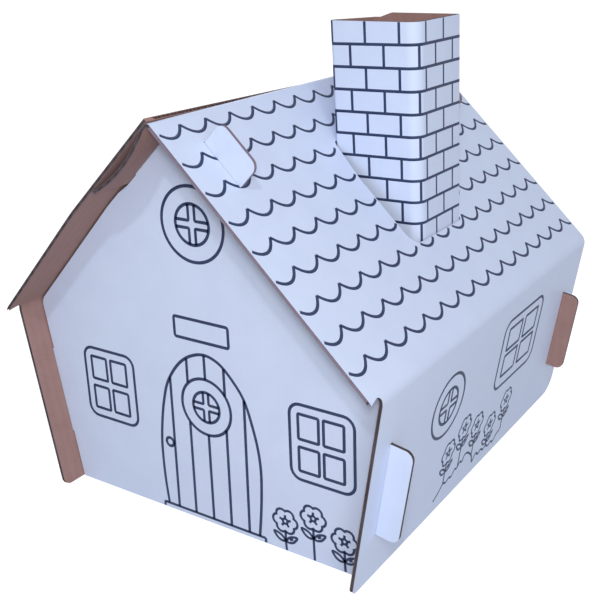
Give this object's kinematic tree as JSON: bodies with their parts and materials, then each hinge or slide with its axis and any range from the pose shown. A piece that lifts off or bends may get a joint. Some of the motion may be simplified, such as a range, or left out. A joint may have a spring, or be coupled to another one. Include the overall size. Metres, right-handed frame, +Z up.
{
  "type": "cardboard house",
  "caption": "Slot-together corrugated card house with leaning walls, steep pitched roof, tabbed gable ends and a square tube chimney through one slope.",
  "frame": {"origin": "bottom centre of the bounding box", "axes": "+Z up, front gable with the door faces -Y, +Y along the ridge to the rear, +X to the slope with the chimney"},
  "size_m": [0.2644, 0.294, 0.2775],
  "materials": {
    "lined_board": "matte"
  },
  "bodies": {
    "root": {"right_sheet": "lined_board", "left_sheet": "lined_board", "front_wall": "lined_board", "rear_wall": "lined_board", "chimney": "lined_board"}
  },
  "joints": []
}
